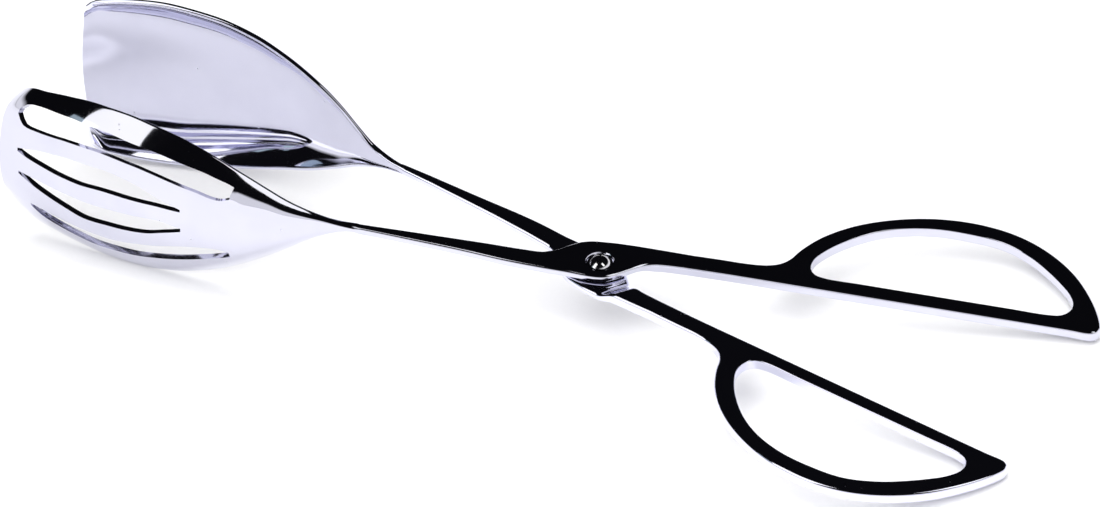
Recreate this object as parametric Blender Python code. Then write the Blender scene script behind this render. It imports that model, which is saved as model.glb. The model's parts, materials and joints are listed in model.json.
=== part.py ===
"""Scissor-type serving tongs: a slotted scoop and a solid spatula, crossed on one pivot.

Blender 4.5 script, metres, +Z up.  Both halves are described in a flat frame whose
origin is the pivot and whose XY plane is the top face of the handles; the finished
objects are then laid on the table, so the frame (and the pivot axis) leans by TILT.
"""
import math

import bmesh
import bpy
import numpy as np
from mathutils import Matrix, Vector

MM = 0.001

# ---- driving sizes, millimetres -------------------------------------------------
HANDLE_LENGTH = 130.0    # pivot to the end of a handle loop
LOOP_WIDTH = 38.5        # crown of a loop above the handle's centre line
ARM_LENGTH = 62.0        # pivot to the neck where a blade starts
SLOTTED_LENGTH = 101.0   # neck to the end of the slotted blade
SPATULA_LENGTH = 96.0    # neck to the end of the spatula blade
HANDLE_T = 3.0           # thickness of the finger loops
ARM_T = 2.1              # thickness of the arms
BOSS_T = 2.0             # thickness of each half where they cross
SHEET_T = 1.5            # thickness of the blades
BOWL_DEPTH = 7.0         # how far the blade's middle stands out behind its rims
SLOT_WIDTH = 1.0         # slot height relative to the drawn slots
SPREAD = 10.6            # degrees each handle turns away from the centre line
SCREW_D = 3.6            # shank of the pivot screw
HEAD_D = 5.6             # domed head of the pivot screw
HEAD_RISE = 1.3          # crown of the head above the top face
NUT_D = 9.0              # round nut under the lower half
NUT_T = 1.6
EDGE_R = 0.4             # eased edges of the halves

# ---- clearances, millimetres ----------------------------------------------------
RUN_GAP = 0.3            # between the two halves, and under the screw head
SHANK_GAP = 0.1          # around the shank, all round
HEAD_GAP = 0.8           # around the head in its recess
HEAD_SINK = 0.6          # depth of that recess

HOLE_D = SCREW_D + 2 * SHANK_GAP
RECESS_D = HEAD_D + 2 * HEAD_GAP
LOWER_TOP = -(BOSS_T + RUN_GAP)      # top face of the lower half at the crossing
BLADE_ROWS = 12                      # mesh divisions over a blade's height
BLADE_COLS = 22                      # and along it


def smooth_curve(points):
    """Monotone cubic through (x, y) knots, as a function of x."""
    xs, ys = (np.array(c, float) for c in zip(*sorted(points)))
    h = np.diff(xs)
    d = np.diff(ys) / h
    m = np.zeros_like(xs)
    m[0], m[-1] = d[0], d[-1]
    for i in range(1, len(xs) - 1):
        if d[i - 1] * d[i] > 0:
            w0, w1 = 2 * h[i] + h[i - 1], h[i] + 2 * h[i - 1]
            m[i] = (w0 + w1) / (w0 / d[i - 1] + w1 / d[i])

    def f(x):
        x = min(max(x, xs[0]), xs[-1])
        i = min(max(int(np.searchsorted(xs, x)) - 1, 0), len(h) - 1)
        t = (x - xs[i]) / h[i]
        return ((2 * t**3 - 3 * t**2 + 1) * ys[i] + (t**3 - 2 * t**2 + t) * h[i] * m[i]
                + (3 * t**2 - 2 * t**3) * ys[i + 1] + (t**3 - t**2) * h[i] * m[i + 1])
    return f


def spline(points, step, closed=False):
    """Centripetal Catmull-Rom through 2-D knots, sampled about every `step` mm."""
    pts = [np.array(p, float) for p in points]
    n = len(pts)
    ring = (lambda i: pts[i % n]) if closed else (
        lambda i: pts[i] if 0 <= i < n else
        (2 * pts[0] - pts[1] if i < 0 else 2 * pts[-1] - pts[-2]))
    out = []
    for i in range(n if closed else n - 1):
        p = [ring(i + k) for k in (-1, 0, 1, 2)]
        t = [0.0]
        for a, b in zip(p, p[1:]):
            t.append(t[-1] + max(float(np.linalg.norm(b - a)), 1e-6) ** 0.5)
        count = max(1, round(float(np.linalg.norm(p[2] - p[1])) / step))
        for k in range(count):
            u = t[1] + (t[2] - t[1]) * k / count
            a = [(p[j] * (t[j + 1] - u) + p[j + 1] * (u - t[j])) / (t[j + 1] - t[j])
                 for j in range(3)]
            b = [(a[j] * (t[j + 2] - u) + a[j + 1] * (u - t[j])) / (t[j + 2] - t[j])
                 for j in range(2)]
            out.append((b[0] * (t[2] - u) + b[1] * (u - t[1])) / (t[2] - t[1]))
    if not closed:
        out.append(pts[-1])
    return out


# ---- plan of one half: blade at x < 0, y < 0, handle at x > 0, y > 0 --------------
A = ARM_LENGTH / 62.0
SEAM_X = 20.0
Y_HI = smooth_curve([(-62 * A, -11.9 * A), (-46 * A, -8.4 * A), (-30 * A, -5.1 * A),
                     (-20, -3.2), (-15, -2.0), (-13.6, -1.0), (-12, 0.4), (-9.8, 3.2),
                     (-7.6, 5.7), (-5, 7.2), (-2, 8.2), (2, 9.3), (8.5, 10.6), (14, 11.6),
                     (20, 12.6)])
Y_LO = smooth_curve([(-62 * A, -14.1 * A), (-48 * A, -12.3 * A), (-33 * A, -10.5 * A),
                     (-23, -9.6), (-13, -8.2), (-5.5, -6.9), (0, -6.1), (3.5, -5.0),
                     (5.5, -3.2), (7.5, -0.6), (9.5, 2.0), (11.5, 4.0), (14, 5.4),
                     (20, 7.0)])

# the loop, in the handle's own axes: u along the handle, v across it
LU, LV = HANDLE_LENGTH / 130.0, LOOP_WIDTH / 38.5
BAR_V, BAR_W = 3.4, 4.4
ROOT_EDGE = [(30, 8.9), (37, 9.0), (41.6, 9.6), (44.6, 10.9)]
LOOP_EDGE = [(46.6, 13.1), (48.4, 17.2), (52.5, 23.5), (59.4, 29.8), (68.5, 34.7), (79, 37.8),
             (90, 38.5), (100.5, 36.7), (109.7, 32.5), (118.5, 25.5), (125.3, 16.6),
             (129.2, 9.0), (130, 6.0)]
TIP_EDGE = [(129.6, 4.5), (128.2, BAR_V), (122, BAR_V)]
HOLE_EDGE = [(57.5, BAR_V + BAR_W), (68, BAR_V + BAR_W), (90, BAR_V + BAR_W),
             (106, BAR_V + BAR_W), (115.6, BAR_V + BAR_W), (119.1, 8.5), (120.8, 10.5),
             (121, 13.3), (119.1, 17), (116.5, 19.9), (112.6, 23.6), (106.7, 28.2),
             (98.5, 32.2), (89, 33.5), (80, 33.3), (71.7, 31.3), (65, 27.9), (59.2, 23.1),
             (55.4, 18.6), (53, 14.1), (53.1, 10.5), (54.6, 8.6)]

# ---- height of a blade over the handle plane, by distance past the neck -----------
# roll: how late the sheet turns in towards its low and top rims; curl: the end turned in
NECK_T = 2.4
RISE = {
    "slotted": dict(
        length=SLOTTED_LENGTH, corner=9.0, bulge=2.4, roll=(3.0, 4.4), curl=1.8,
        top=[(0, 0.1), (5, 0.5), (12, 2.0), (18, 4.3), (24, 7.7), (31, 11.7), (38, 15.3),
             (50, 19.3), (62, 20.9), (71, 20.5), (80, 18.8), (88, 16.6), (95, 14.4),
             (101, 12.8)],
        low=[(0, 2.3), (4, 2.7), (12, 6.0), (18, 10.2), (24, 14.4), (31, 18.8), (38, 22.4),
             (50, 26.8), (62, 29.0), (71, 29.6), (80, 29.4), (95, 28.2), (101, 27.0)]),
    "spatula": dict(
        length=SPATULA_LENGTH, corner=5.5, bulge=2.6, roll=(5.0, 3.5), curl=0.0,
        top=[(0, 0.1), (5, 0.8), (10, 2.5), (14, 5.4), (20, 10.2), (26, 14.0), (36, 18.7),
             (46, 22.4), (58, 24.5), (70, 25.2), (82, 24.0), (90, 22.2), (96, 20.4)],
        low=[(0, 2.3), (4, 3.1), (9, 4.9), (15, 7.6), (22, 12.0), (32, 17.4), (40, 20.6),
             (50, 24.2), (62, 27.4), (72, 29.2), (80, 29.5), (88, 29.0), (96, 27.8)]),
}
RIM_Y = [(0, 13.0), (13, 15.7), (26, 18.3), (38, 20.0), (53, 20.6), (68, 19.6), (78, 18.2),
         (88, 16.3), (102, 13.2)]
BOWL = [(0, 0.0), (8, 0.08), (20, 0.45), (34, 0.9), (48, 1.0), (75, 1.0), (92, 0.8),
        (102, 0.62)]

# long slots of the slotted blade as (distance past neck, height) outlines
SLOTS = [
    [(30.5, 9.0), (34, 11.3), (42, 13.8), (51, 15.6), (58, 16.4), (67, 16.5), (76, 15.8),
     (86, 14.0), (92.5, 12.0), (94.5, 9.8), (93, 6.4), (88, 7.2), (79, 9.4), (68, 11.0),
     (59, 11.1), (49, 9.9), (41, 8.4), (36, 7.1), (33, 7.2)],
    [(43.5, 1.0), (50, 3.4), (58, 6.0), (65, 6.4), (75, 5.3), (84, 2.9), (95, -2.2),
     (90, -3.0), (83, -2.8), (75, -2.3), (68, -1.3), (59, -0.4), (50, 0.4)],
    [(43.5, -5.8), (50, -4.3), (59, -5.8), (69, -7.1), (79, -7.7), (94.5, -9.6),
     (88, -11.5), (79, -12.6), (73, -13.4), (65, -12.6), (55, -10.7), (49, -8.4)],
    [(30.5, -12.2), (35, -10.2), (42, -11.4), (55, -15.2), (68, -18.0), (80, -18.1),
     (91.5, -18.8), (88, -21.6), (80, -22.5), (71, -23.3), (62, -22.4), (52, -19.9),
     (43, -17.3), (36, -14.5)],
]


def to_plan(u, v):
    a = math.radians(SPREAD)
    u, v = u * LU, v * LV if v > BAR_V + BAR_W + 0.05 else v
    return (u * math.cos(a) - v * math.sin(a), u * math.sin(a) + v * math.cos(a))


# The sections near the pivot are slanted: (x on the low edge, x on the high edge). The
# lower half dips to pass under, gently from the arm and up a short ramp to the handle.
RAMP = [(9.2, 3.0), (13.9, 9.0)]
DIP = smooth_curve([(-50, 0.0), (-33, 0.17), (-22, 0.48), (-16, 0.83), (-13, 1.0)])


def stations():
    """(x low edge, x high edge, share of the ramp climbed) from the neck to the handle."""
    out = [(x, x, 0.0) for x in np.linspace(-62 * A, -22, 11)[1:]]
    out += [(x, x, 0.0) for x in (-20, -18, -16.5, -15, -14)]
    for i in range(1, 23):
        t = i / 22
        out.append((-14 + (RAMP[0][0] + 14) * t, -14 + (RAMP[0][1] + 14) * t, 0.0))
    for i in range(1, 9):
        t = i / 8
        out.append((*(a + (b - a) * t for a, b in zip(*RAMP)), t * t * (3 - 2 * t)))
    for i in range(1, 4):
        t = i / 4
        out.append((*(a + (SEAM_X - a) * t for a in RAMP[1]), 1.0))
    return out + [(SEAM_X, SEAM_X, 1.0)]


def lower_level(x, climbed):
    """Height of the lower half's top face."""
    return LOWER_TOP * DIP(x) * (1 - climbed)


def thickness(x, climbed):
    knots = smooth_curve([(-62 * A, NECK_T - 0.1), (-45 * A, ARM_T), (-18, ARM_T),
                          (-14, BOSS_T)])
    return knots(x) + (HANDLE_T - BOSS_T) * climbed


def blade_point(spec, s, v):
    """Middle surface of a blade: s 0..1 neck to end, v -1..1 bottom rim to top rim."""
    half = 0.5 * (spec["z_top"](spec["length"]) + spec["z_low"](spec["length"]))
    edge = 1 - spec["corner"] / half
    over = max(0.0, (abs(v) - edge) / (1 - edge))
    end = spec["length"] - spec["corner"] * (1 - math.sqrt(max(0.0, 1 - over * over)))
    end -= spec["bulge"] * v * v
    d = end * s
    top, low = spec["z_top"](d), -spec["z_low"](d)
    roll = spec["roll"][v > 0] + 4 * max(0.0, 1 - d / 40)
    y = spec["rim"](d) + BOWL_DEPTH * spec["bowl"](d) * (1 - abs(v) ** roll)
    y -= spec["curl"] * max(0.0, (d - end + 9) / 9) ** 2 * max(0.0, v + 0.35)
    return Vector((-ARM_LENGTH - d, -y, (top + low) / 2 + v * (top - low) / 2))


def blade_spec(kind):
    spec = dict(RISE[kind])
    k = spec["length"] / {"slotted": 101.0, "spatula": 96.0}[kind]
    spec["z_top"] = smooth_curve([(x * k, z) for x, z in spec["top"]])
    spec["z_low"] = smooth_curve([(x * k, z) for x, z in spec["low"]])
    shift = 13.0 * (A - 1)
    spec["rim"] = smooth_curve([(x * k, y + shift) for x, y in RIM_Y])
    spec["bowl"] = smooth_curve([(x * k, b) for x, b in BOWL])
    spec["k"] = k
    return spec


def blade_grids(spec):
    """Two vertex grids, behind (outer) and in front of (inner) the middle surface."""
    rows = [math.sin(math.pi / 2 * (2 * i / BLADE_ROWS - 1)) for i in range(BLADE_ROWS + 1)]
    cols = [(j / BLADE_COLS) ** 1.05 for j in range(BLADE_COLS + 1)]
    cols = [c - 0.035 * math.sin(2 * math.pi * c) * c for c in cols]
    outer, inner = [], []
    for s in cols:
        wide = (2.0 - SHEET_T) * max(0.0, 1 - s / 0.18) ** 2 + SHEET_T
        line_o, line_i = [], []
        for v in rows:
            p = blade_point(spec, s, v)
            if s == 0:
                n = Vector((0, 1, 0))
            else:
                ds = blade_point(spec, min(s + 0.004, 1), v) - blade_point(spec, s - 0.004, v)
                dv = (blade_point(spec, s, min(v + 0.01, 1))
                      - blade_point(spec, s, max(v - 0.01, -1)))
                n = dv.cross(ds).normalized()
                if n.y < 0:
                    n = -n
            line_o.append(p - n * (wide / 2))
            line_i.append(p + n * (wide / 2))
        outer.append(line_o)
        inner.append(line_i)
    return outer, inner


def make_object(name, bm, colour, rough):
    mesh = bpy.data.meshes.new(name)
    bmesh.ops.recalc_face_normals(bm, faces=bm.faces[:])
    bm.to_mesh(mesh)
    bm.free()
    obj = bpy.data.objects.new(name, mesh)
    bpy.context.collection.objects.link(obj)
    mat = bpy.data.materials.new(name + "_steel")
    mat.use_nodes = True
    shader = mat.node_tree.nodes["Principled BSDF"]
    shader.inputs["Base Color"].default_value = (*colour, 1)
    shader.inputs["Metallic"].default_value = 1.0
    shader.inputs["Roughness"].default_value = rough
    mesh.materials.append(mat)
    return obj


def cut(obj, cutter):
    cutter.hide_render = True
    cutter.display_type = "WIRE"
    mod = obj.modifiers.new("cut_" + cutter.name, "BOOLEAN")
    mod.operation = "DIFFERENCE"
    mod.solver = "EXACT"
    mod.object = cutter


def prism(name, outline, axis, lo, hi):
    """Closed outline pushed along an axis ('y' or 'z'), used as a cutter."""
    bm = bmesh.new()
    place = ((lambda a, b, c: (a, c, b)) if axis == "y" else (lambda a, b, c: (a, b, c)))
    rings = [[bm.verts.new(Vector(place(p[0], p[1], h)) * MM) for p in outline]
             for h in (lo, hi)]
    n = len(outline)
    for i in range(n):
        bm.faces.new((rings[0][i], rings[0][(i + 1) % n], rings[1][(i + 1) % n], rings[1][i]))
    for ring in rings:
        bm.faces.new(ring)
    return make_object(name, bm, (0.8, 0.2, 0.2), 0.5)


def circle(d, n):
    return [(d / 2 * math.cos(2 * math.pi * i / n), d / 2 * math.sin(2 * math.pi * i / n))
            for i in range(n)]


def lathe(name, profile, n, colour, rough):
    """Solid of revolution about Z from (radius, height) points, ends on the axis or open."""
    bm = bmesh.new()
    rings = []
    for r, z in profile:
        if r == 0:
            rings.append([bm.verts.new(Vector((0, 0, z)) * MM)])
        else:
            rings.append([bm.verts.new(Vector((x, y, z)) * MM) for x, y in circle(2 * r, n)])
    closed = profile[0][0] > 0
    pairs = list(zip(rings, rings[1:] + ([rings[0]] if closed else [])))
    for a, b in pairs[:len(rings) if closed else len(rings) - 1]:
        for i in range(n):
            j = (i + 1) % n
            if len(a) == 1:
                bm.faces.new((a[0], b[i], b[j]))
            elif len(b) == 1:
                bm.faces.new((a[i], a[j], b[0]))
            else:
                bm.faces.new((a[i], a[j], b[j], b[i]))
    return make_object(name, bm, colour, rough)


def half_mesh(kind, lower):
    """One stamped half as a single closed mesh; `lower` mirrors it and sets it under."""
    bm = bmesh.new()
    side = -1 if lower else 1

    def vert(x, y, z):
        return bm.verts.new((x * MM, side * y * MM, z * MM))

    # blade: outer and inner sheets, joined along the rims and the end
    spec = blade_spec(kind)
    outer, inner = ([[vert(*p) for p in line] for line in grid] for grid in blade_grids(spec))
    for grid in (outer, inner):
        for a, b in zip(grid, grid[1:]):
            for i in range(BLADE_ROWS):
                bm.faces.new((a[i], a[i + 1], b[i + 1], b[i]))
    for row in (0, -1):
        for j in range(BLADE_COLS):
            bm.faces.new((outer[j][row], outer[j + 1][row], inner[j + 1][row], inner[j][row]))
    for i in range(BLADE_ROWS):
        bm.faces.new((outer[-1][i], outer[-1][i + 1], inner[-1][i + 1], inner[-1][i]))

    # arm and crossing: four-cornered sections from the neck to the handle root
    sections = []
    for x_lo, x_hi, climbed in stations():
        top = lower_level(x_lo, climbed) if lower else 0.0
        low = top - thickness(x_lo, climbed)
        lo, hi = (x_lo, Y_LO(x_lo)), (x_hi, Y_HI(x_hi))
        sections.append([vert(*lo, low), vert(*lo, top), vert(*hi, top), vert(*hi, low)])
    first = sections[0]
    bm.faces.new([first[0], first[1]] + list(reversed(outer[0])))
    bm.faces.new([first[3], first[2]] + list(reversed(inner[0])))
    bm.faces.new((outer[0][-1], inner[0][-1], first[2], first[1]))
    bm.faces.new((outer[0][0], inner[0][0], first[3], first[0]))
    for a, b in zip(sections, sections[1:]):
        for i in range(4):
            j = (i + 1) % 4
            bm.faces.new((a[i], a[j], b[j], b[i]))

    # handle: flat plate with the finger opening
    knots = [(x, y) for x, y in ((SEAM_X, Y_HI(SEAM_X)),)]
    knots += [to_plan(u, v) for u, v in ROOT_EDGE + LOOP_EDGE + TIP_EDGE]
    knots += [to_plan(u, BAR_V) for u in (100, 75, 50, 33)] + [(SEAM_X, Y_LO(SEAM_X))]
    rim = spline(knots, 3.2)
    hole = spline([to_plan(u, v) for u, v in HOLE_EDGE], 3.2, closed=True)
    last = sections[-1]
    rim_top = [last[2]] + [vert(x, y, 0) for x, y in rim[1:-1]] + [last[1]]
    rim_low = [last[3]] + [vert(x, y, -HANDLE_T) for x, y in rim[1:-1]] + [last[0]]
    hole_top = [vert(x, y, 0) for x, y in hole]
    hole_low = [vert(x, y, -HANDLE_T) for x, y in hole]
    for i in range(len(rim) - 1):
        bm.faces.new((rim_top[i], rim_top[i + 1], rim_low[i + 1], rim_low[i]))
    for i in range(len(hole)):
        j = (i + 1) % len(hole)
        bm.faces.new((hole_top[i], hole_top[j], hole_low[j], hole_low[i]))
    for ring, opening in ((rim_top, hole_top), (rim_low, hole_low)):
        loop = ring + [ring[0]]
        inner_loop = opening + [opening[0]]
        edges = [bm.edges.get(pair) or bm.edges.new(pair)
                 for pair in list(zip(loop, loop[1:])) + list(zip(inner_loop, inner_loop[1:]))]
        bmesh.ops.triangle_fill(bm, edges=edges, use_beauty=True, use_dissolve=False)
    return bm, spec


def build_half(name, kind, lower, colour, rough):
    bm, spec = half_mesh(kind, lower)
    obj = make_object(name, bm, colour, rough)
    ease = obj.modifiers.new("eased_edges", "BEVEL")
    ease.width = EDGE_R * MM
    ease.segments = 1
    ease.limit_method = "ANGLE"
    ease.angle_limit = math.radians(50)
    ease.use_clamp_overlap = True
    cutters = []
    top = LOWER_TOP if lower else 0.0
    cutters.append(prism(name + "_pivot_hole", circle(HOLE_D, 40), "z", top - 5, top + 1))
    if not lower:
        cutters.append(prism(name + "_recess", circle(RECESS_D, 48), "z", -HEAD_SINK, 1))
    if kind == "slotted":
        for i, outline in enumerate(SLOTS):
            mid = sum(z for _, z in outline) / len(outline)
            pts = [(-ARM_LENGTH - x * spec["k"], mid + (z - mid) * SLOT_WIDTH)
                   for x, z in outline]
            pts = spline(pts, 3.5, closed=True)
            cutters.append(prism(f"{name}_slot_{i + 1}", pts, "y", -48, -4))
    for cutter in cutters:
        cut(obj, cutter)
    return obj, cutters


def clear_scene():
    for obj in list(bpy.data.objects):
        bpy.data.objects.remove(obj, do_unlink=True)


clear_scene()
STEEL = (0.78, 0.78, 0.80)
slotted, cut_a = build_half("slotted_half", "slotted", False, STEEL, 0.16)
spatula, cut_b = build_half("spatula_half", "spatula", True, (0.76, 0.77, 0.79), 0.18)

# pivot screw: domed head with a driver slot, shank down through both halves
under = -HEAD_SINK + RUN_GAP
nut_top = LOWER_TOP - BOSS_T - RUN_GAP
shank_end = nut_top - NUT_T
r = HEAD_D / 2
dome = [(r * math.sin(a), 0.15 + (HEAD_RISE - 0.15) * math.cos(a))
        for a in np.linspace(0, math.pi / 2, 8)[1:]]
screw = lathe("pivot_screw", [(0, HEAD_RISE)] + dome
              + [(r, under), (SCREW_D / 2, under), (SCREW_D / 2, shank_end + 0.3),
                 (SCREW_D / 2 - 0.3, shank_end), (0, shank_end)], 48, (0.72, 0.72, 0.74), 0.2)
slot = prism("pivot_screw_slot", [(-6, -0.35), (6, -0.35), (6, 0.35), (-6, 0.35)], "z", 0.55, 3)
slot.rotation_euler[2] = math.radians(115)
cut(screw, slot)
bore = SCREW_D / 2 + SHANK_GAP
nut = lathe("pivot_nut", [(bore, nut_top), (NUT_D / 2, nut_top), (NUT_D / 2, nut_top - NUT_T + 0.5),
                          (NUT_D / 2 - 0.5, nut_top - NUT_T), (bore, nut_top - NUT_T)],
            48, (0.7, 0.7, 0.72), 0.24)

for obj in (slotted, spatula, screw, nut):
    for poly in obj.data.polygons:
        poly.use_smooth = True
    obj.data.set_sharp_from_angle(angle=math.radians(32))

# ---- lay the flat frame on the table: blade rims and loop ends both touch ----------
lowest = max(RISE[k]["low"][i][1] for k in RISE for i in range(len(RISE[k]["low"])))
reach = ARM_LENGTH + 74.0
tip_x = HANDLE_LENGTH * math.cos(math.radians(SPREAD))
TILT = math.atan2(lowest - HANDLE_T, reach + tip_x)
lean = Matrix.Rotation(TILT, 4, "Y")
bpy.context.view_layer.update()
corners = []
depsgraph = bpy.context.evaluated_depsgraph_get()
for obj in (slotted, spatula, screw, nut):
    shape = obj.evaluated_get(depsgraph)
    corners += [lean @ v.co for v in shape.data.vertices]
low = [min(c[i] for c in corners) for i in range(3)]
high = [max(c[i] for c in corners) for i in range(3)]
place = Matrix.Translation((-(low[0] + high[0]) / 2, -(low[1] + high[1]) / 2, -low[2])) @ lean
for obj in (slotted, spatula, screw, nut, slot, *cut_a, *cut_b):
    obj.matrix_world = place @ obj.matrix_world
bpy.context.view_layer.update()
print("pivot", tuple(round(c, 6) for c in place.translation),
      "axis", tuple(round(c, 5) for c in (place.to_3x3() @ Vector((0, 0, 1)))))
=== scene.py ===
"""Looks for a pair of scissor-type serving tongs: polished steel halves, screw and nut."""
import json
import math

import bmesh
import bpy
import numpy as np
from mathutils import Matrix, Vector


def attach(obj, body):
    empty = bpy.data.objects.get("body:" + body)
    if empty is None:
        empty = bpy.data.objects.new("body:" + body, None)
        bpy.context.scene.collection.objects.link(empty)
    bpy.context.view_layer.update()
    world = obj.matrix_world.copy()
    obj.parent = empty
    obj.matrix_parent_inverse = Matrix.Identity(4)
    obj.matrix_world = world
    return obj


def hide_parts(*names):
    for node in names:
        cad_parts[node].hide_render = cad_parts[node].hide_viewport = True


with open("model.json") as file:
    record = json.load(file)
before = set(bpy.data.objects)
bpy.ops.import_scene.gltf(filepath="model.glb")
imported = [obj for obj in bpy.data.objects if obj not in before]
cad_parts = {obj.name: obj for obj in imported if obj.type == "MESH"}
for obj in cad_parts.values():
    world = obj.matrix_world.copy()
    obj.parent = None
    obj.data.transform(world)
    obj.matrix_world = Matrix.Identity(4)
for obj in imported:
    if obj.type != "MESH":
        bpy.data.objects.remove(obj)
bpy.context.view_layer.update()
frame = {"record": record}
MM = 0.001

# the flat frame of the halves: origin on the pivot, XY in the top face of the handles
hinge = frame["record"]["behaviour"]["joints"][0]
PIVOT = Vector(hinge["pos_m"])
LEAN = math.atan2(hinge["axis"][0], hinge["axis"][2])
TO_TABLE = Matrix.Translation(PIVOT) @ Matrix.Rotation(LEAN, 4, "Y")

# ---- sizes in millimetres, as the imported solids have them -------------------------
ARM_LENGTH, SPREAD = 62.0, 10.6
HANDLE_T, ARM_T, BOSS_T, SHEET_T, NECK_T = 3.0, 2.1, 2.0, 1.5, 2.4
BOWL_DEPTH, RUN_GAP = 7.0, 0.3
SEAM_X = 20.0                      # where the lofted arm joins the loop plate
TOP_R, LOW_R, HOLE_R, NECK_R = 1.0, 0.4, 0.4, 0.75    # rounding of the edges
SHEET_EASE = 0.12                  # flat left on each side of a blade's rounded edge
HEAD_D, HEAD_RISE, HEAD_SINK, HEAD_GAP = 5.6, 1.3, 0.6, 0.8
HEAD_RIM_Z, HEAD_RINGS = -0.22, 12
SCREW_D, SHANK_GAP, SHANK_EASE = 3.6, 0.1, 0.3
DRIVER_W, DRIVER_Z, DRIVER_TURN = 0.55, 0.45, 110.0    # width, floor and turn of the slot
NUT_D, NUT_T, NUT_EASE = 9.0, 1.6, 0.35
LOWER_TOP = -(BOSS_T + RUN_GAP)
NUT_TOP = LOWER_TOP - BOSS_T - RUN_GAP
COLS, ARC, ROUND = 84, 6, 96       # columns along a blade, steps round an edge and a bore


def smooth_curve(points):
    """Monotone cubic through (x, y) knots, as a function of x."""
    xs, ys = (np.array(c, float) for c in zip(*sorted(points)))
    h, n = np.diff(xs), len(xs)
    d = np.diff(ys) / h
    m = np.zeros(n)
    m[0], m[-1] = d[0], d[-1]
    for i in range(1, n - 1):
        if d[i - 1] * d[i] > 0:
            w0, w1 = 2 * h[i] + h[i - 1], h[i] + 2 * h[i - 1]
            m[i] = (w0 + w1) / (w0 / d[i - 1] + w1 / d[i])

    def f(x):
        x = min(max(x, xs[0]), xs[-1])
        i = min(max(int(np.searchsorted(xs, x)) - 1, 0), n - 2)
        t = (x - xs[i]) / h[i]
        return ((2 * t**3 - 3 * t**2 + 1) * ys[i] + (t**3 - 2 * t**2 + t) * h[i] * m[i]
                + (3 * t**2 - 2 * t**3) * ys[i + 1] + (t**3 - t**2) * h[i] * m[i + 1])
    return f


def spline(points, step, closed=False):
    """Centripetal Catmull-Rom through 2-D knots, sampled about every `step` mm."""
    pts = [np.array(p, float) for p in points]
    n = len(pts)
    if closed:
        def at(i):
            return pts[i % n]
    else:
        def at(i):
            if i < 0:
                return 2 * pts[0] - pts[1]
            return pts[i] if i < n else 2 * pts[-1] - pts[-2]
    out = []
    for i in range(n if closed else n - 1):
        p = [at(i + k) for k in (-1, 0, 1, 2)]
        t = [0.0]
        for a, b in zip(p, p[1:]):
            t.append(t[-1] + max(float(np.linalg.norm(b - a)), 1e-6) ** 0.5)
        count = max(1, round(float(np.linalg.norm(p[2] - p[1])) / step))
        for k in range(count):
            u = t[1] + (t[2] - t[1]) * k / count
            a = [(p[j] * (t[j + 1] - u) + p[j + 1] * (u - t[j])) / (t[j + 1] - t[j])
                 for j in range(3)]
            b = [(a[j] * (t[j + 2] - u) + a[j + 1] * (u - t[j])) / (t[j + 2] - t[j])
                 for j in range(2)]
            out.append((b[0] * (t[2] - u) + b[1] * (u - t[1])) / (t[2] - t[1]))
    if not closed:
        out.append(pts[-1])
    return out


# ---- plan of one half: blade at x < 0, y < 0, handle at x > 0, y > 0 ---------------
Y_HI = smooth_curve([(-62, -11.9), (-46, -8.4), (-30, -5.1), (-20, -3.2), (-15, -2.0),
                     (-13.6, -1.0), (-12, 0.4), (-9.8, 3.2), (-7.6, 5.7), (-5, 7.2),
                     (-2, 8.2), (2, 9.3), (8.5, 10.6), (14, 11.6), (20, 12.6)])
Y_LO = smooth_curve([(-62, -14.1), (-48, -12.3), (-33, -10.5), (-23, -9.6), (-13, -8.2),
                     (-5.5, -6.9), (0, -6.1), (3.5, -5.0), (5.5, -3.2), (7.5, -0.6),
                     (9.5, 2.0), (11.5, 4.0), (14, 5.4), (20, 7.0)])
ARM_THICK = smooth_curve([(-62, NECK_T - 0.1), (-45, ARM_T), (-18, ARM_T), (-14, BOSS_T)])
# the sections near the pivot are slanted: (x on the low edge, x on the high edge)
RAMP = [(9.2, 3.0), (13.9, 9.0)]
DIP = smooth_curve([(-54, 0.0), (-33, 0.25), (-22, 0.6), (-16, 0.87), (-13, 1.0)])
BAR_V, BAR_W = 3.4, 4.4
LOOP_EDGE = [(30, 8.9), (37, 9.0), (41.6, 9.6), (44.6, 10.9), (46.6, 13.1), (48.4, 17.2),
             (52.5, 23.5), (59.4, 29.8), (68.5, 34.7), (79, 37.8), (90, 38.5), (100.5, 36.7),
             (109.7, 32.5), (118.5, 25.5), (125.3, 16.6), (129.2, 9.0), (130, 6.0),
             (129.6, 4.5), (128.2, BAR_V), (122, BAR_V), (100, BAR_V), (75, BAR_V),
             (50, BAR_V), (33, BAR_V)]
BAR_TOP = BAR_V + BAR_W
HOLE_EDGE = [(57.5, BAR_TOP), (68, BAR_TOP), (90, BAR_TOP), (106, BAR_TOP),
             (115.6, BAR_TOP), (119.1, 8.5), (120.8, 10.5), (121, 13.3), (119.1, 17),
             (116.5, 19.9), (112.6, 23.6), (106.7, 28.2), (98.5, 32.2), (89, 33.5),
             (80, 33.3), (71.7, 31.3), (65, 27.9), (59.2, 23.1), (55.4, 18.6), (53, 14.1),
             (53.1, 10.5), (54.6, 8.6)]

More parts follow.
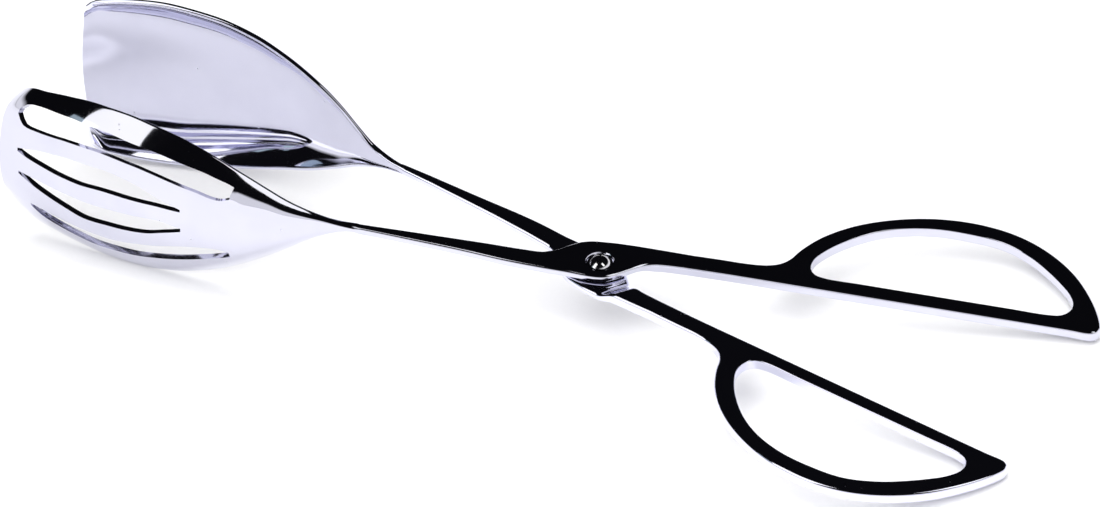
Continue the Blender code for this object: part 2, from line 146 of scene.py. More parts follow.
# ---- blades, by distance past the neck ---------------------------------------------
RIM_Y = smooth_curve([(0, 13.0), (13, 15.7), (26, 18.3), (38, 20.0), (53, 20.6), (68, 19.6),
                      (78, 18.2), (88, 16.3), (102, 13.2)])
BOWL = smooth_curve([(0, 0.0), (8, 0.08), (20, 0.45), (34, 0.9), (48, 1.0), (75, 1.0),
                     (92, 0.8), (102, 0.62)])
BLADES = {
    "slotted": dict(
        length=101.0, corner=9.0, bulge=2.4, roll=(3.0, 4.4), curl=1.8,
        top=smooth_curve([(0, 0.1), (5, 0.5), (12, 2.0), (18, 4.3), (24, 7.7), (31, 11.7),
                          (38, 15.3), (50, 19.3), (62, 20.9), (71, 20.5), (80, 18.8),
                          (88, 16.6), (95, 14.4), (101, 12.8)]),
        low=smooth_curve([(0, 2.3), (4, 2.7), (12, 6.0), (18, 10.2), (24, 14.4), (31, 18.8),
                          (38, 22.4), (50, 26.8), (62, 29.0), (71, 29.6), (80, 29.4),
                          (95, 28.2), (101, 27.0)])),
    "spatula": dict(
        length=96.0, corner=5.5, bulge=2.6, roll=(5.0, 3.5), curl=0.0,
        top=smooth_curve([(0, 0.1), (5, 0.8), (10, 2.5), (14, 5.4), (20, 10.2), (26, 14.0),
                          (36, 18.7), (46, 22.4), (58, 24.5), (70, 25.2), (82, 24.0),
                          (90, 22.2), (96, 20.4)]),
        low=smooth_curve([(0, 2.3), (4, 3.1), (9, 4.9), (15, 7.6), (22, 12.0), (32, 17.4),
                          (40, 20.6), (50, 24.2), (62, 27.4), (72, 29.2), (80, 29.5),
                          (88, 29.0), (96, 27.8)])),
}
# the four slots from the lowest up: lower edge and upper edge as (distance, height)
SLOTS = [
    ([(30.5, -12.7), (36, -14.6), (43, -17.3), (52, -19.9), (62, -22.4), (71, -23.3),
      (80, -22.5), (88, -21.6), (91.5, -19.4)],
     [(30.5, -12.0), (35, -10.4), (42, -11.4), (55, -15.2), (68, -18.0), (80, -18.1),
      (91.5, -18.6)]),
    ([(43.5, -6.2), (49, -8.4), (55, -10.7), (65, -12.6), (73, -13.4), (79, -12.6),
      (88, -11.5), (94.5, -9.9)],
     [(43.5, -5.4), (50, -4.5), (59, -5.8), (69, -7.1), (79, -7.7), (94.5, -9.2)]),
    ([(43.5, 0.6), (50, 0.4), (59, -0.4), (68, -1.3), (75, -2.3), (83, -2.8), (90, -3.0),
      (95, -2.6)],
     [(43.5, 1.3), (50, 3.4), (58, 6.0), (65, 6.4), (75, 5.3), (84, 2.9), (95, -1.9)]),
    ([(30.5, 8.6), (32, 7.6), (34, 7.1), (41, 8.4), (49, 9.9), (59, 11.1), (68, 11.0),
      (79, 9.4), (88, 7.2), (92.5, 6.4), (94.2, 7.2), (94.8, 8.6)],
     [(30.5, 9.3), (34, 11.2), (42, 13.8), (51, 15.6), (58, 16.4), (67, 16.5), (76, 15.8),
      (86, 14.0), (92.5, 12.3), (94.2, 11.4), (94.8, 9.9)]),
]


def stations():
    """(x low edge, x high edge, share of the ramp climbed) from the neck to the handle."""
    out = [(x, x, 0.0) for x in np.linspace(-62, -14, 60)]
    for a, b, count, climb in (((-14, -14), RAMP[0], 44, 0), (RAMP[0], RAMP[1], 16, 1),
                               (RAMP[1], (SEAM_X, SEAM_X), 10, 2)):
        for i in range(1, count + 1):
            t = i / count
            share = (0.0, t * t * (3 - 2 * t), 1.0)[climb]
            out.append((a[0] + (b[0] - a[0]) * t, a[1] + (b[1] - a[1]) * t, share))
    return out


def blade_rows(kind):
    """Row heights as functions of distance (-1 low rim, 1 top rim), and the slots' rows."""
    blade = BLADES[kind]
    if kind == "spatula":
        n = 30
        return [lambda d, v=math.sin(math.pi / 2 * (2 * i / n - 1)): v for i in range(n + 1)], []

    def level(knots):
        curve, first, last = smooth_curve(knots), knots[0][0], knots[-1][0]

        def v(d):
            d = min(max(d, first), last)
            top, low = blade["top"](d), -blade["low"](d)
            return (2 * curve(d) - top - low) / (top - low)
        return v
    marks = [lambda d: -1.0]
    for low, up in SLOTS:
        marks += [level(low), level(up)]
    marks.append(lambda d: 1.0)
    steps = [5, 2, 4, 2, 4, 2, 4, 3, 5]
    rows, holes = [marks[0]], []
    for k, count in enumerate(steps):
        for i in range(1, count + 1):
            t = i / count
            if k == 0:
                t = 1 - math.cos(math.pi / 2 * t)
            elif k == len(steps) - 1:
                t = math.sin(math.pi / 2 * t)
            rows.append(lambda d, a=marks[k], b=marks[k + 1], t=t: a(d) * (1 - t) + b(d) * t)
        if k % 2 == 1:
            low, up = SLOTS[k // 2]
            holes.append((len(rows) - 1 - count, len(rows) - 1, low[0][0], low[-1][0]))
    return rows, holes


def blade_sheet(kind):
    """Middle surface of a blade as an array [column, row, xyz], columns from the neck."""
    blade = BLADES[kind]
    rows, holes = blade_rows(kind)
    length, r = blade["length"], blade["corner"]
    tuck = r * (1 - math.sqrt(0.5))
    top_end, low_end = blade["top"](length) - tuck, -blade["low"](length) + tuck

    def end(v):
        z = low_end + (v + 1) / 2 * (top_end - low_end)
        over = max(0.0, z - (top_end + tuck - r), (low_end - tuck + r) - z)
        return length - blade["bulge"] * v * v - (r - math.sqrt(max(0.0, r * r - over * over)))

    def rounded(profile, d):
        stop = end(1.0) + tuck
        over = max(0.0, d - (stop - r))
        return profile(d) - (r - math.sqrt(max(0.0, r * r - over * over)))
    sheet = np.zeros((COLS + 1, len(rows), 3))
    for j in range(COLS + 1):
        s = j / COLS
        s += 0.02 * math.sin(2 * math.pi * s)
        d_rim = s * end(1.0)
        top, low = rounded(blade["top"], d_rim), -rounded(blade["low"], d_rim)
        for i, row in enumerate(rows):
            v = row(s * length)
            d = s * end(v)
            roll = blade["roll"][v > 0] + 4 * max(0.0, 1 - d / 40)
            y = RIM_Y(d) + BOWL_DEPTH * BOWL(d) * (1 - abs(v) ** roll)
            y -= blade["curl"] * max(0.0, (d - end(v) + 9) / 9) ** 2 * max(0.0, v + 0.35)
            sheet[j, i] = (-ARM_LENGTH - d, -y, (top + low) / 2 + v * (top - low) / 2)
    return sheet, rows, holes


def section_ring(mid, across, half, up_low, up_top, r_low, r_top, skew=1.0):
    """Points round one cross-section: outer side, top edge, inner side, bottom edge."""
    outer = [m - n * half for m, n in zip(mid, across)]
    inner = [m + n * half for m, n in zip(mid, across)]
    angles = [math.pi / 2 * (k + 1) / ARC for k in range(ARC)]

    def cap(m, n, up, r, first):
        wide = r * skew
        near = [m - first * n * (half - wide) - first * n * wide * math.cos(a)
                + up * r * math.sin(a) for a in angles]
        far = [m + first * n * (half - wide) + first * n * wide * math.cos(a)
               + up * r * math.sin(a) for a in reversed(angles)]
        return near + far
    return (outer + cap(mid[-1], across[-1], up_top, r_top, 1)
            + inner[::-1] + cap(mid[0], across[0], up_low, r_low, -1))


def half_rings(kind, lower):
    """Cross-sections of one half from the blade's end to the handle root."""
    sheet, rows, holes = blade_sheet(kind)
    along = np.gradient(sheet, axis=0)
    across = np.gradient(sheet, axis=1)
    normal = np.cross(across, along)
    normal /= np.linalg.norm(normal, axis=2, keepdims=True)
    if normal[COLS // 2, len(rows) // 2, 1] < 0:
        normal = -normal
    rings = []
    for j in range(COLS, 0, -1):
        d = -ARM_LENGTH - sheet[j].mean(axis=0)[0]
        wide = SHEET_T + (2.0 - SHEET_T) * max(0.0, 1 - d / 18) ** 2
        r = wide / 2 - SHEET_EASE
        up = across[j, -1] / np.linalg.norm(across[j, -1])
        low = -across[j, 0] / np.linalg.norm(across[j, 0])
        height = np.linalg.norm(sheet[j, -1] - sheet[j, 0])
        centre = (sheet[j, 0] + sheet[j, -1]) / 2
        mid = sheet[j] - centre
        mid[:, 2] *= 1 - 2 * r / height
        mid += centre
        blend = min(1.0, d / 14)
        n = normal[j] * blend + np.array([0, 1.0, 0]) * (1 - blend)
        n /= np.linalg.norm(n, axis=1, keepdims=True)
        rings.append(section_ring(mid, n, wide / 2, low, up, r, r))
    for x_lo, x_hi, climbed in stations():
        top = LOWER_TOP * DIP(x_lo) * (1 - climbed) if lower else 0.0
        thick = ARM_THICK(x_lo) + (HANDLE_T - BOSS_T) * climbed
        p, q = np.array([x_lo, Y_LO(x_lo), 0]), np.array([x_hi, Y_HI(x_hi), 0])
        half = np.linalg.norm(q - p) / 2
        grow = min(1.0, (x_lo + ARM_LENGTH) / 20)
        r_top = NECK_R + (TOP_R - NECK_R) * grow
        r_low = NECK_R + (LOW_R - NECK_R) * grow
        z0, z1 = top - thick + r_low, top - r_top
        levels = [z0 + (z1 - z0) * (row(0) + 1) / 2 for row in rows]
        mid = np.array([((x_lo + x_hi) / 2, (p[1] + q[1]) / 2, z) for z in levels])
        n = np.tile((q - p) / (2 * half), (len(rows), 1))
        skew = min(1.25, 2 * half / (q[1] - p[1]))
        rings.append(section_ring(mid, n, half, np.array([0, 0, -1.0]), np.array([0, 0, 1.0]),
                                  r_low, r_top, skew))
    return rings, len(rows), holes


def edge_profile(p, inward, r_top, r_low):
    """Points over the loop plate's edge at plan point p, from the top face to the bottom."""
    points = []
    for k in range(ARC, -1, -1):
        a = math.pi / 2 * k / ARC
        points.append((*(p + inward * r_top * (1 - math.cos(a))), -r_top * (1 - math.sin(a))))
    for k in range(ARC + 1):
        a = math.pi / 2 * k / ARC
        points.append((*(p + inward * r_low * (1 - math.cos(a))),
                       -HANDLE_T + r_low * (1 - math.sin(a))))
    return points


def to_plan(u, v):
    a = math.radians(SPREAD)
    return (u * math.cos(a) - v * math.sin(a), u * math.sin(a) + v * math.cos(a))


def deselect():
    for obj in bpy.context.selected_objects:
        obj.select_set(False)


def take(obj):
    """Make one object the only selected and the active one."""
    deselect()
    obj.select_set(True)
    bpy.context.view_layer.objects.active = obj


def new_piece(name, bm):
    """Mesh object at the table place, from a bmesh drawn in the flat frame."""
    bmesh.ops.recalc_face_normals(bm, faces=bm.faces[:])
    mesh = bpy.data.meshes.new(name)
    bm.to_mesh(mesh)
    bm.free()
    mesh.transform(TO_TABLE)
    obj = bpy.data.objects.new(name, mesh)
    bpy.context.collection.objects.link(obj)
    take(obj)
    return obj


def cut_away(obj, tool):
    """Take a tool's shape out of a piece, and throw the tool away."""
    take(obj)
    cut = obj.modifiers.new("cut", "BOOLEAN")
    cut.operation, cut.solver, cut.object = "DIFFERENCE", "EXACT", tool
    bpy.ops.object.modifier_apply(modifier=cut.name)
    bpy.data.objects.remove(tool, do_unlink=True)


def drill(obj, profile):
    """Cut a round hole, given as (radius, height) points, on the pivot axis."""
    bm = bmesh.new()
    turns = [2 * math.pi * i / ROUND for i in range(ROUND)]
    rings = [[bm.verts.new((r * MM * math.cos(a), r * MM * math.sin(a), z * MM))
              for a in turns] for r, z in profile]
    for a, b in zip(rings, rings[1:]):
        for i in range(ROUND):
            k = (i + 1) % ROUND
            bm.faces.new((a[i], a[k], b[k], b[i]))
    bm.faces.new(rings[0])
    bm.faces.new(rings[-1])
    cut_away(obj, new_piece("drill", bm))


def forge_half(name, kind, lower):
    """One half: lofted blade, arm and crossing, then the plate of the finger loop."""
    side = -1 if lower else 1
    bm = bmesh.new()

    def vert(p):
        return bm.verts.new((p[0] * MM, side * p[1] * MM, p[2] * MM))
    points, n, holes = half_rings(kind, lower)
    rings = [[vert(p) for p in ring] for ring in points]
    size = len(rings[0])
    top_0, inner_0, low_0 = n, n + 2 * ARC, 2 * n + 2 * ARC

    def inner(i):
        return inner_0 + n - 1 - i
    open_cells = {}
    for a, b, first, last in holes:
        cols = [j for j in range(COLS - 1)
                if first <= -(rings[j][a].co.x / MM) - ARM_LENGTH <= last + 0.2]
        open_cells[(a, b)] = (min(cols), max(cols))
    for j, (p, q) in enumerate(zip(rings, rings[1:])):
        for i in range(size):
            k = (i + 1) % size
            row = i if i < n - 1 else (inner(i) - 1 if inner_0 <= i < low_0 - 1 else None)
            if row is not None and any(a <= row < b and j0 <= j < j1
                                       for (a, b), (j0, j1) in open_cells.items()):
                continue
            bm.faces.new((p[i], p[k], q[k], q[i]))
    for (a, b), (j0, j1) in open_cells.items():
        loop = ([(j, a) for j in range(j0, j1)] + [(j1, i) for i in range(a, b)]
                + [(j, b) for j in range(j1, j0, -1)] + [(j0, i) for i in range(b, a, -1)])
        for (j, i), (jj, ii) in zip(loop, loop[1:] + loop[:1]):
            bm.faces.new((rings[j][i], rings[jj][ii], rings[jj][inner(ii)], rings[j][inner(i)]))
    # the blade's end: outer rows joined to inner rows, and the two rounded corners closed
    end = rings[0]
    for i in range(n - 1):
        bm.faces.new((end[i], end[i + 1], end[inner(i + 1)], end[inner(i)]))
    bm.faces.new([end[n - 1]] + end[top_0:top_0 + 2 * ARC] + [end[inner_0]])
    bm.faces.new([end[low_0 - 1]] + end[low_0:] + [end[0]])

    # the handle plate from the root round the loop and back
    seam = rings[-1]
    hi_rows, lo_rows = seam[inner_0:low_0], seam[0:n]
    hi_profile = (seam[top_0 + ARC:inner_0] + [hi_rows[0], hi_rows[-1]]
                  + seam[low_0:low_0 + ARC])
    lo_profile = (seam[top_0:top_0 + ARC][::-1] + [lo_rows[-1], lo_rows[0]]
                  + seam[low_0 + ARC:][::-1])
    knots = [(SEAM_X, Y_HI(SEAM_X))] + [to_plan(u, v) for u, v in LOOP_EDGE]
    outline = spline(knots + [(SEAM_X, Y_LO(SEAM_X))], 1.1)
    hole = spline([to_plan(u, v) for u, v in HOLE_EDGE], 1.1, closed=True)

    def profiles(path, closed, r_top):
        out = []
        m = len(path)
        for i in range(m) if closed else range(1, m - 1):
            t = path[(i + 1) % m] - path[i - 1]
            t /= np.linalg.norm(t)
            out.append([vert(p) for p in edge_profile(path[i], np.array([t[1], -t[0]]),
                                                      r_top, LOW_R)])
        return out
    rim = [hi_profile] + profiles(outline, False, TOP_R) + [lo_profile]
    ring = profiles(hole, True, HOLE_R)
    for j, (p, q) in enumerate(zip(rim, rim[1:])):
        for k in range(len(p) - 1):
            face = [p[k], p[k + 1], q[k + 1], q[k]]
            if k == ARC and j == 0:
                face = hi_rows + [q[k + 1], q[k]]
            elif k == ARC and j == len(rim) - 2:
                face = [p[k], p[k + 1]] + lo_rows
            bm.faces.new(face)
    for p, q in zip(ring, ring[1:] + ring[:1]):
        for k in range(len(p) - 1):
            bm.faces.new((p[k], p[k + 1], q[k + 1], q[k]))
    for k in (0, -1):
        edges = []
        for loop in ([p[k] for p in rim], [p[k] for p in ring]):
            edges += [bm.edges.get(e) or bm.edges.new(e) for e in zip(loop, loop[1:] + loop[:1])]
        bmesh.ops.triangle_fill(bm, edges=edges, use_beauty=True, use_dissolve=False)
    obj = new_piece(name, bm)
    bore = SCREW_D / 2 + SHANK_GAP
    if lower:
        drill(obj, [(bore, LOWER_TOP - 4), (bore, LOWER_TOP + 0.2)])
    else:
        recess = HEAD_D / 2 + HEAD_GAP
        drill(obj, [(bore, -4), (bore, -HEAD_SINK), (recess - 0.25, -HEAD_SINK),
                    (recess + 0.12, -0.06), (recess + 0.18, 0.02), (recess + 0.18, 0.3)])
    return obj


def finish_edges(obj):
    """Smooth shading that leaves the flats flat and the creases crisp."""
    take(obj)
    bpy.ops.object.shade_smooth_by_angle(angle=math.radians(40), keep_sharp_edges=False)
    mod = obj.modifiers.new("even_shading", "WEIGHTED_NORMAL")
    mod.keep_sharp = True
    mod.weight = 60
    bpy.ops.object.modifier_apply(modifier=mod.name)


def edit_faces(obj, wanted):
    """Enter edit mode with only the wanted faces selected."""
    bpy.ops.object.mode_set(mode="OBJECT")
    mesh = obj.data
    for group in (mesh.vertices, mesh.edges, mesh.polygons):
        group.foreach_set("select", [False] * len(group))
    for poly in mesh.polygons:
        if wanted(poly):
            poly.select = True
    bpy.ops.object.mode_set(mode="EDIT")
    bpy.ops.mesh.select_mode(type="FACE")


def round_bar(name, radius, low, high):
    deselect()
    bpy.ops.mesh.primitive_cylinder_add(vertices=ROUND, radius=radius * MM,
                                        depth=(high - low) * MM,
                                        location=(0, 0, (low + high) / 2 * MM))
    obj = bpy.context.object
    obj.name = name
    bpy.ops.object.transform_apply(location=True, rotation=True, scale=True)
    return obj


def ease_and_place(obj, width, segments, angle):
    """Bevel the sharp edges, then lay the piece on the pivot axis."""
    take(obj)
    bevel = obj.modifiers.new("eased", "BEVEL")
    bevel.width, bevel.segments = width * MM, segments
    bevel.limit_method, bevel.angle_limit = "ANGLE", math.radians(angle)
    bpy.ops.object.modifier_apply(modifier=bevel.name)
    obj.data.transform(TO_TABLE)
    bpy.ops.object.shade_smooth_by_angle(angle=math.radians(28))


def pivot_screw():
    """Domed head with a driver slot, shank down through both halves."""
    under, head_r = RUN_GAP - HEAD_SINK, HEAD_D / 2
    rise = HEAD_RISE - HEAD_RIM_Z
    ball = (head_r**2 + rise**2) / (2 * rise)
    slope = math.asin(head_r / ball)
    obj = round_bar("domed_pivot_screw", head_r, under, HEAD_RIM_Z)
    edit_faces(obj, lambda p: p.normal.z > 0.9)
    last_r, last_z = head_r, HEAD_RIM_Z
    for k in range(1, HEAD_RINGS + 1):
        a = slope * (1 - k / (HEAD_RINGS + 0.5))
        r, z = ball * math.sin(a), HEAD_RISE - ball * (1 - math.cos(a))
        bpy.ops.mesh.inset(thickness=(last_r - r) * MM, depth=(z - last_z) * MM)
        last_r, last_z = r, z
    edit_faces(obj, lambda p: p.normal.z < -0.9)
    bpy.ops.mesh.inset(thickness=(head_r - SCREW_D / 2) * MM, depth=0)
    bpy.ops.mesh.extrude_region_move(
        TRANSFORM_OT_translate={"value": (0, 0, (NUT_TOP - NUT_T + SHANK_EASE - under) * MM)})
    bpy.ops.mesh.inset(thickness=SHANK_EASE * MM, depth=SHANK_EASE * MM)
    bpy.ops.object.mode_set(mode="OBJECT")
    deselect()
    tall = 3
    bpy.ops.mesh.primitive_cube_add(size=1, location=(0, 0, (DRIVER_Z + tall / 2) * MM))
    cutter = bpy.context.object
    cutter.scale = (2 * HEAD_D * MM, DRIVER_W * MM, tall * MM)
    cutter.rotation_euler[2] = math.radians(DRIVER_TURN)
    bpy.ops.object.transform_apply(location=True, rotation=True, scale=True)
    cut_away(obj, cutter)
    ease_and_place(obj, 0.05, 2, 40)
    return obj


def pivot_nut():
    """Thin round nut riveted under the lower half."""
    bore = SCREW_D / 2 + SHANK_GAP
    obj = round_bar("round_pivot_nut", NUT_D / 2, NUT_TOP - NUT_T, NUT_TOP)
    for side in (1, -1):
        edit_faces(obj, lambda p: p.normal.z * side > 0.9)
        bpy.ops.mesh.inset(thickness=(NUT_D / 2 - bore) * MM, depth=0)
        bpy.ops.object.mode_set(mode="OBJECT")
    edit_faces(obj, lambda p: abs(p.normal.z) > 0.9 and p.center.xy.length < 0.5 * MM)
    bpy.ops.mesh.bridge_edge_loops()
    bpy.ops.mesh.select_all(action="SELECT")
    bpy.ops.mesh.normals_make_consistent(inside=False)
    bpy.ops.object.mode_set(mode="OBJECT")
    ease_and_place(obj, NUT_EASE, 4, 50)
    return obj


slotted = forge_half("slotted_scoop", "slotted", False)
spatula = forge_half("solid_spatula", "spatula", True)
finish_edges(slotted)
finish_edges(spatula)
screw, nut = pivot_screw(), pivot_nut()
for piece, node, body in ((slotted, "slotted_half", "slotted_side"),
                          (spatula, "spatula_half", "spatula_side"),
                          (screw, "pivot_screw", "spatula_side"),
                          (nut, "pivot_nut", "spatula_side")):
    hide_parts(node)
    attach(piece, body)


# ---- finish ------------------------------------------------------------------------
def effect_group(name, inputs, outputs):
    """Empty shader node group: inputs as (name, type, value), outputs as (name, type)."""
    group = bpy.data.node_groups.new(name, "ShaderNodeTree")
    for label, kind, value in inputs:
        socket = group.interface.new_socket(label, in_out="INPUT", socket_type=kind)
        socket.default_value = value
    for label, kind in outputs:
        group.interface.new_socket(label, in_out="OUTPUT", socket_type=kind)
    return group, group.nodes.new("NodeGroupInput"), group.nodes.new("NodeGroupOutput")


def maker(tree):
    """Short hand for wiring nodes: make(type, {socket: value or output}, setting=value)."""
    def make(kind, sockets=None, **settings):
        node = tree.nodes.new("ShaderNode" + kind)
        for key, value in settings.items():
            setattr(node, key, value)
        for key, value in (sockets or {}).items():
            if isinstance(value, bpy.types.NodeSocket):
                tree.links.new(value, node.inputs[key])
            else:
                node.inputs[key].default_value = value
        return node
    return make


FLOAT, COLOUR = "NodeSocketFloat", "NodeSocketColor"


def hand_polish_group():
    """Buffed steel: soft smears, fine wheel lines along the piece, and a few dull pits."""
    group, given, result = effect_group(
        "hand_polish",
        [("Steel Colour", COLOUR, (0.66, 0.655, 0.77, 1)),
         ("Smear Colour", COLOUR, (0.6, 0.6, 0.7, 1)),
         ("Gloss Roughness", FLOAT, 0.04), ("Smear", FLOAT, 0.03),
         ("Wheel Lines", FLOAT, 0.02), ("Pits", FLOAT, 0.3)],
        [("Colour", COLOUR), ("Roughness", FLOAT), ("Height", FLOAT)])
    make = maker(group)
    place = make("TexCoord").outputs["Object"]
    cloud = make("TexNoise", {"Vector": place, "Scale": 38.0, "Detail": 3.0, "Roughness": 0.55})
    smear = make("MapRange", {"Value": cloud.outputs[0], "From Min": 0.42, "From Max": 0.72})
    drawn = make("Mapping", {"Vector": place, "Scale": (90.0, 2600.0, 2600.0)})
    lines = make("TexNoise", {"Vector": drawn.outputs[0], "Scale": 1.0, "Detail": 2.0})
    cells = make("TexVoronoi", {"Vector": place, "Scale": 260.0})
    near = make("MapRange", {"Value": cells.outputs["Distance"], "From Min": 0.05,
                             "From Max": 0.11, "To Min": 1.0, "To Max": 0.0})
    pick = make("SeparateColor", {"Color": cells.outputs["Color"]})
    rare = make("Math", {0: pick.outputs[0], 1: 0.8}, operation="GREATER_THAN")
    pits = make("Math", {0: near.outputs[0], 1: rare.outputs[0]}, operation="MULTIPLY")
    rough = make("Math", {0: smear.outputs[0], 1: given.outputs["Smear"],
                          2: given.outputs["Gloss Roughness"]}, operation="MULTIPLY_ADD")
    rough = make("Math", {0: lines.outputs[0], 1: given.outputs["Wheel Lines"],
                          2: rough.outputs[0]}, operation="MULTIPLY_ADD")
    rough = make("Math", {0: pits.outputs[0], 1: given.outputs["Pits"],
                          2: rough.outputs[0]}, operation="MULTIPLY_ADD")
    tint = make("Mix", {0: smear.outputs[0], 6: given.outputs["Steel Colour"],
                        7: given.outputs["Smear Colour"]}, data_type="RGBA")
    dent = make("Math", {0: pits.outputs[0], 1: -0.4, 2: lines.outputs[0]},
                operation="MULTIPLY_ADD")
    group.links.new(tint.outputs[2], result.inputs["Colour"])
    group.links.new(rough.outputs[0], result.inputs["Roughness"])
    group.links.new(dent.outputs[0], result.inputs["Height"])
    return group


def lathe_rings_group():
    """Fine rings round the pivot axis, as a lathe tool leaves them on a screw or nut."""
    group, given, result = effect_group(
        "lathe_rings",
        [("Rings per mm", FLOAT, 3.0), ("Ring Roughness", FLOAT, 0.08)],
        [("Roughness", FLOAT), ("Height", FLOAT)])
    make = maker(group)
    place = make("TexCoord").outputs["Object"]
    centred = make("VectorMath", {0: place, 1: tuple(PIVOT)}, operation="SUBTRACT")
    upright = make("VectorRotate", {"Vector": centred.outputs[0], "Angle": -LEAN},
                   rotation_type="Y_AXIS")
    flat = make("VectorMath", {0: upright.outputs[0], 1: (1.0, 1.0, 0.0)},
                operation="MULTIPLY")
    out = make("VectorMath", {0: flat.outputs[0]}, operation="LENGTH")
    turns = make("Math", {0: given.outputs["Rings per mm"], 1: 2000 * math.pi},
                 operation="MULTIPLY")
    phase = make("Math", {0: out.outputs["Value"], 1: turns.outputs[0]}, operation="MULTIPLY")
    wave = make("Math", {0: phase.outputs[0]}, operation="SINE")
    grain = make("TexNoise", {"Vector": place, "Scale": 900.0, "Detail": 2.0})
    mixed = make("Math", {0: wave.outputs[0], 1: grain.outputs[0]}, operation="MULTIPLY")
    level = make("MapRange", {"Value": mixed.outputs[0], "From Min": -1.0})
    rough = make("Math", {0: level.outputs[0], 1: given.outputs["Ring Roughness"]},
                 operation="MULTIPLY")
    group.links.new(rough.outputs[0], result.inputs["Roughness"])
    group.links.new(level.outputs[0], result.inputs["Height"])
    return group


HAND_POLISH, LATHE_RINGS = hand_polish_group(), lathe_rings_group()


def steel(name, colour, smear_colour, gloss, smear, lines, pits, bump, rings=None):
    """Steel made of the polish group, with lathe rings added on turned pieces."""
    mat = bpy.data.materials.new(name)
    mat.use_nodes = True
    tree = mat.node_tree
    make, shader = maker(tree), tree.nodes["Principled BSDF"]
    shader.inputs["Metallic"].default_value = 1.0
    polish = make("Group", node_tree=HAND_POLISH)
    for label, value in (("Steel Colour", (*colour, 1)), ("Smear Colour", (*smear_colour, 1)),
                         ("Gloss Roughness", gloss), ("Smear", smear), ("Wheel Lines", lines),
                         ("Pits", pits)):
        polish.inputs[label].default_value = value
    rough, height = polish.outputs["Roughness"], polish.outputs["Height"]
    if rings:
        turned = make("Group", node_tree=LATHE_RINGS)
        turned.inputs["Rings per mm"].default_value = rings[0]
        turned.inputs["Ring Roughness"].default_value = rings[1]
        rough = make("Math", {0: rough, 1: turned.outputs["Roughness"]},
                     operation="ADD").outputs[0]
        height = make("Math", {0: turned.outputs["Height"], 1: rings[2], 2: height},
                      operation="MULTIPLY_ADD").outputs[0]
    relief = make("Bump", {"Height": height, "Strength": bump, "Distance": 0.00002})
    tree.links.new(polish.outputs["Colour"], shader.inputs["Base Color"])
    tree.links.new(rough, shader.inputs["Roughness"])
    tree.links.new(relief.outputs[0], shader.inputs["Normal"])
    return mat


# The two halves are one steel. The scoop's colour is set darker and the spatula's lighter and
# bluer: painted shade on the scoop and a painted lavender sheen on the spatula, standing in for
# the different reflections the two halves show.
FINISHES = [
    (slotted, steel("scoop_steel_painted_shade", (0.645, 0.645, 0.745), (0.595, 0.595, 0.7),
                    0.035, 0.03, 0.02, 0.35, 0.05)),
    (spatula, steel("spatula_steel_painted_sheen", (0.765, 0.765, 0.905), (0.705, 0.705, 0.845),
                    0.035, 0.035, 0.02, 0.35, 0.05)),
    (screw, steel("turned_screw_steel", (0.72, 0.715, 0.76), (0.64, 0.635, 0.68),
                  0.05, 0.04, 0.01, 0.2, 0.05, rings=(3.2, 0.06, 0.6))),
    (nut, steel("brushed_nut_steel", (0.62, 0.615, 0.64), (0.52, 0.515, 0.54),
                0.16, 0.08, 0.04, 0.2, 0.12, rings=(2.2, 0.16, 1.0))),
]
for piece, finish in FINISHES:
    piece.data.materials.clear()
    piece.data.materials.append(finish)

# ---- studio ------------------------------------------------------------------------
scene = bpy.context.scene
scene.view_settings.view_transform = "Standard"
deselect()
bpy.ops.mesh.primitive_plane_add(size=8, location=(0, 0, 0))
floor = bpy.context.object
floor.name = "floor"
paper = bpy.data.materials.new("pale_paper_floor")
paper.use_nodes = True
make, shader = maker(paper.node_tree), paper.node_tree.nodes["Principled BSDF"]
fibre = make("TexNoise", {"Vector": make("TexCoord").outputs["Object"], "Scale": 900.0,
                          "Detail": 4.0})
shade = make("Mix", {0: fibre.outputs[0], 6: (0.93, 0.93, 0.93, 1), 7: (0.9, 0.9, 0.9, 1)},
             data_type="RGBA")
matt = make("MapRange", {"Value": fibre.outputs[0], "To Min": 0.75, "To Max": 0.9})
paper.node_tree.links.new(shade.outputs[2], shader.inputs["Base Color"])
paper.node_tree.links.new(matt.outputs[0], shader.inputs["Roughness"])
floor.data.materials.append(paper)

# The room is white near the floor and dark above it, so level polished faces mirror
# black. The dark comes lower on the far side, and higher towards +X.
FAR_DARK, SIDE_LIGHT, SIDE_REACH = 0.28, -0.2, 0.42
WHITE_UP_TO, DARK_FROM = 0.33, 0.44
world = bpy.data.worlds.new("studio")
scene.world = world
world.use_nodes = True
world.node_tree.nodes.clear()
make = maker(world.node_tree)
way = make("SeparateXYZ", {0: make("TexCoord").outputs["Generated"]})
far = make("Math", {0: way.outputs["Y"], 1: 0.0}, operation="MAXIMUM")
aside = make("Math", {0: way.outputs["X"], 1: SIDE_REACH}, operation="MINIMUM")
height = make("Math", {0: aside.outputs[0], 1: SIDE_LIGHT, 2: way.outputs["Z"]},
              operation="MULTIPLY_ADD")
height = make("Math", {0: far.outputs[0], 1: FAR_DARK, 2: height.outputs[0]},
              operation="MULTIPLY_ADD")
ramp = make("ValToRGB", {0: height.outputs[0]})
low_stop, high_stop = ramp.color_ramp.elements
low_stop.position, low_stop.color = WHITE_UP_TO, (1, 1, 1, 1)
high_stop.position, high_stop.color = DARK_FROM, (0.004, 0.004, 0.005, 1)
sky = make("Background", {"Color": ramp.outputs[0]})
make("OutputWorld", {0: sky.outputs[0]})


def area_light(name, spot, aim, size, power, colour=(1, 1, 1)):
    data = bpy.data.lights.new(name, "AREA")
    data.shape = "RECTANGLE"
    data.size, data.size_y = size
    data.color, data.energy = colour, power
    light = bpy.data.objects.new(name, data)
    bpy.context.collection.objects.link(light)
    light.location = spot
    light.rotation_euler = (aim - spot).to_track_quat("-Z", "Y").to_euler()
    return light


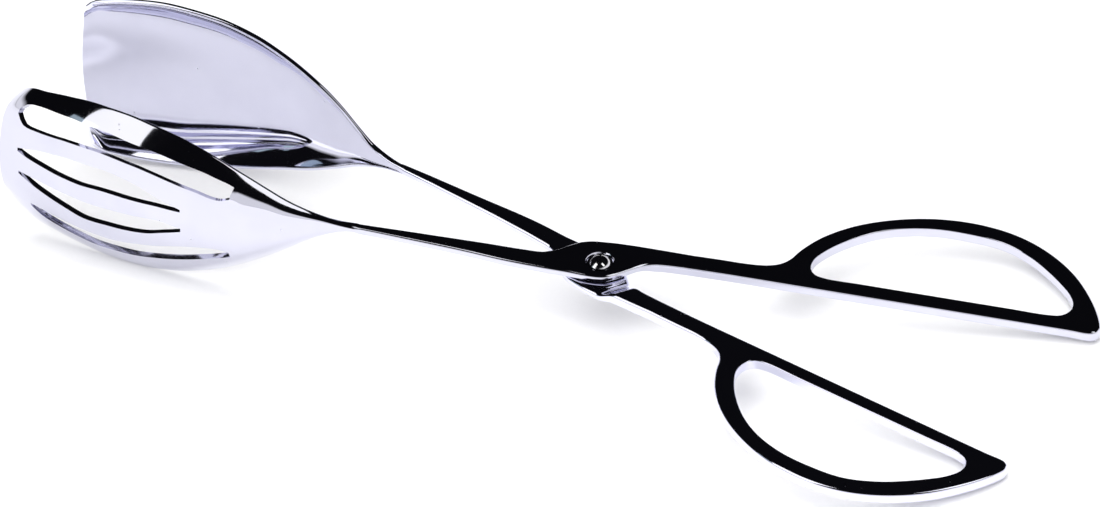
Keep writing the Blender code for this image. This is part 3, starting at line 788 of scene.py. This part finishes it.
def softbox(name, spot, size, power):
    """Soft light on the floor and the tongs that the steel doesn't mirror."""
    light = area_light(name, Vector(spot), Vector((0, 0, 0.02)), size, power)
    light.visible_glossy = False


def card(name, azimuth, elevation, width, height, colour, glow):
    """A lit card seen only in the steel: angles in degrees round from +Y, sizes too."""
    distance = 1.6
    a, e = math.radians(azimuth), math.radians(elevation)
    spot = distance * Vector((math.sin(a) * math.cos(e), math.cos(a) * math.cos(e),
                              math.sin(e)))
    size = [2 * distance * math.tan(math.radians(v / 2)) for v in (width, height)]
    light = area_light(name, spot, Vector(), size, math.pi * size[0] * size[1] * glow, colour)
    light.visible_diffuse = False
    light.visible_camera = False


softbox("overhead", (0.0, 0.0, 2.4), (3.8, 3.8), 118)
softbox("front_fill", (0.6, -1.8, 1.6), (2.0, 1.2), 32)
WARM_WHITE, SLATE = (1.0, 1.0, 0.95), (0.33, 0.42, 0.44)
card("left_softbox", -147, 43, 26, 46, WARM_WHITE, 1.5)
card("left_fill_card", -131, 25, 16, 11, SLATE, 1.25)
card("right_softbox", 100, 50, 16, 30, WARM_WHITE, 1.5)

# ---- camera ------------------------------------------------------------------------
# placed in the flat frame: it stands back from a point on the handle plane, and its
# aim is turned a little so that the tongs fill the frame
TURN, RISE, REACH = math.radians(24.75), math.radians(43.09), 3.529
STAND, AIM_RIGHT, AIM_UP = Vector((0.12978, -0.19832, 0)), -0.012865, 0.043832
back = Vector((math.sin(TURN) * math.cos(RISE), -math.cos(TURN) * math.cos(RISE),
               math.sin(RISE)))
right = Vector((math.cos(TURN), math.sin(TURN), 0))
up = right.cross(-back)
aim = (AIM_RIGHT * right + AIM_UP * up - back).normalized()
side = aim.cross(up).normalized()
eye = Matrix((side, side.cross(aim), -aim)).transposed().to_4x4()
eye.translation = STAND + back * REACH
lens = bpy.data.cameras.new("camera")
lens.sensor_width, lens.lens, lens.clip_end = 36, 474.0, 50
camera = bpy.data.objects.new("camera", lens)
bpy.context.collection.objects.link(camera)
camera.matrix_world = TO_TABLE @ eye
scene.camera = camera
